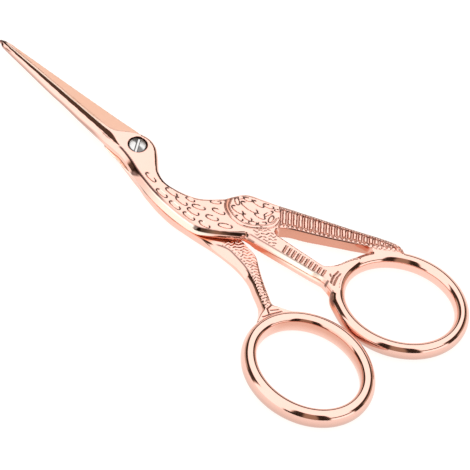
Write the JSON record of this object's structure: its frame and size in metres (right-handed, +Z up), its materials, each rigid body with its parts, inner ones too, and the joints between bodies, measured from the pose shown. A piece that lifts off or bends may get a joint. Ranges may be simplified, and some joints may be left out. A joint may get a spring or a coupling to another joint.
{
  "type": "sewing scissors",
  "caption": "Small pointed sewing scissors with stork-shaped handles and oval finger rings, whose crossed halves turn on a slotted pivot screw.",
  "frame": {"origin": "on the pivot axis, at the level of the flat surface that the closed scissors lie on", "axes": "+X from the blade tips towards the finger rings, +Y towards the ring of the front half, +Z up along the pivot axis, out of the screw head"},
  "size_m": [0.1158, 0.052, 0.0051],
  "materials": {
    "rose_gold": "polished rose gold plating over steel, with satin ground inner blade faces",
    "screw_steel": "bright turned steel"
  },
  "bodies": {
    "back": {"back_half": "rose_gold", "pivot_screw": "screw_steel"},
    "front": {"front_half": "rose_gold"}
  },
  "joints": [
    {"name": "blade_pivot", "type": "hinge", "parent": "back", "child": "front", "pos_m": [0, 0, 0.00255], "axis": [0, 0, 1], "range_deg": [0, 90]}
  ]
}
